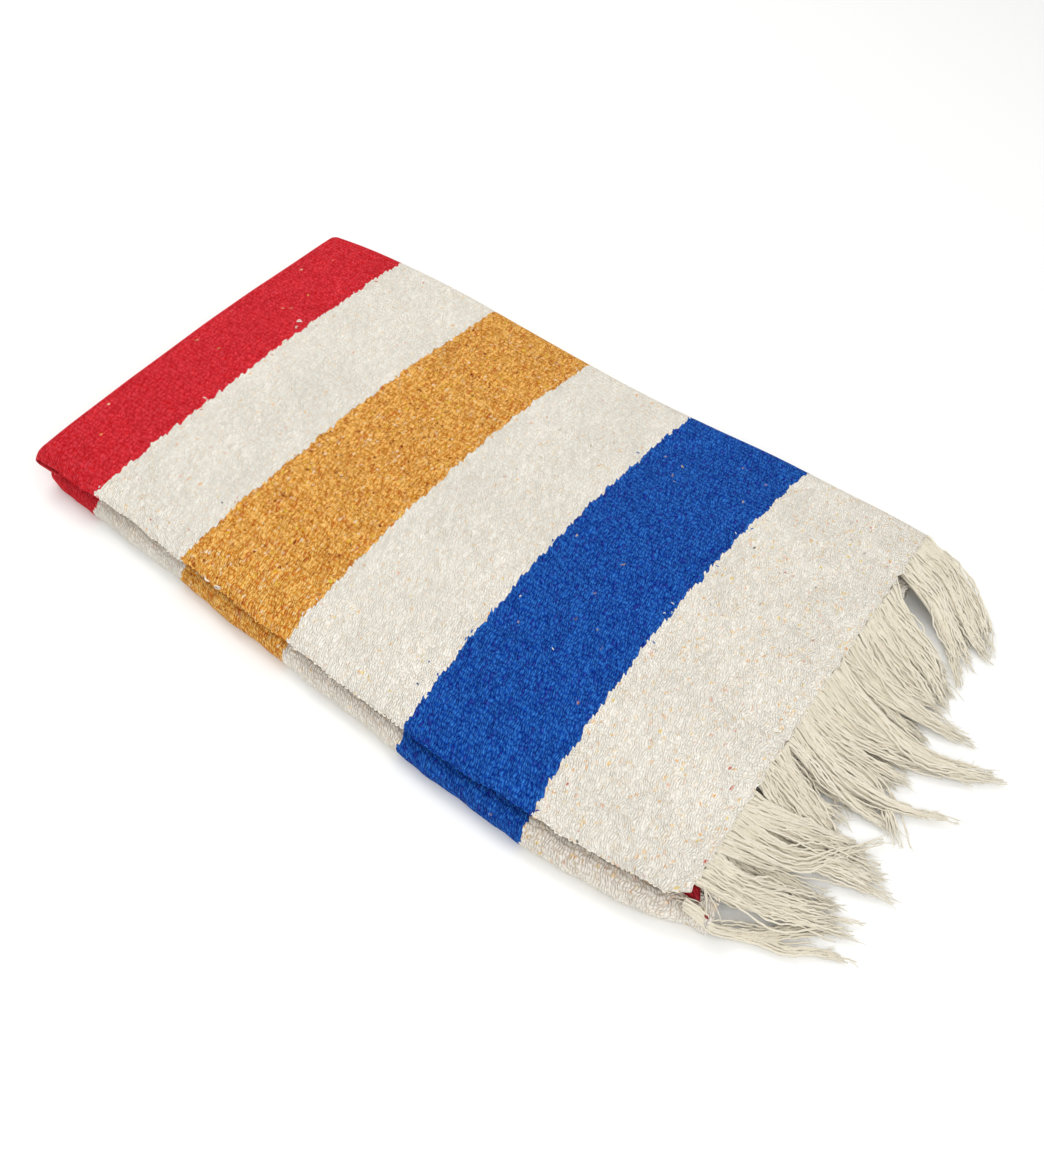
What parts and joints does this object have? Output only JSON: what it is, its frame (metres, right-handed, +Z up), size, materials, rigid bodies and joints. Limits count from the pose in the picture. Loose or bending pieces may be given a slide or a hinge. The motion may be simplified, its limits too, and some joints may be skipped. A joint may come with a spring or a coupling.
{
  "type": "folded striped cotton blanket with fringe",
  "caption": "Woven cotton blanket with wide weft stripes, folded in thirds both ways into a flat stack, with a loose warp fringe at one end.",
  "frame": {"origin": "on the flat underside, on the surface that the blanket lies on, midway along and across the folded stack without its fringe", "axes": "+X along the folded length from the folds to the fringe, +Y from the front spine to the back spine, +Z up"},
  "size_m": [0.7474, 0.4155, 0.0387],
  "materials": {
    "striped_cotton": "weft-faced plain weave of coarse recycled cotton in wide stripes of red, cream, ochre and blue",
    "inner_cotton": "the same cotton cloth in the hidden layers",
    "red_cotton": "the red stripe of the same cotton cloth",
    "warp_yarn": "natural cotton warp yarns, loosely twisted, left as a fringe"
  },
  "bodies": {
    "root": {"top_stretch": "striped_cotton", "underside_stretch": "striped_cotton", "inner_layers": "inner_cotton", "middle_fold": "red_cotton", "upper_inner_fold": "red_cotton", "middle_inner_fold": "red_cotton", "lower_inner_fold": "red_cotton", "top_fringe": "warp_yarn", "middle_fringe": "warp_yarn", "underside_fringe": "warp_yarn"}
  },
  "joints": []
}
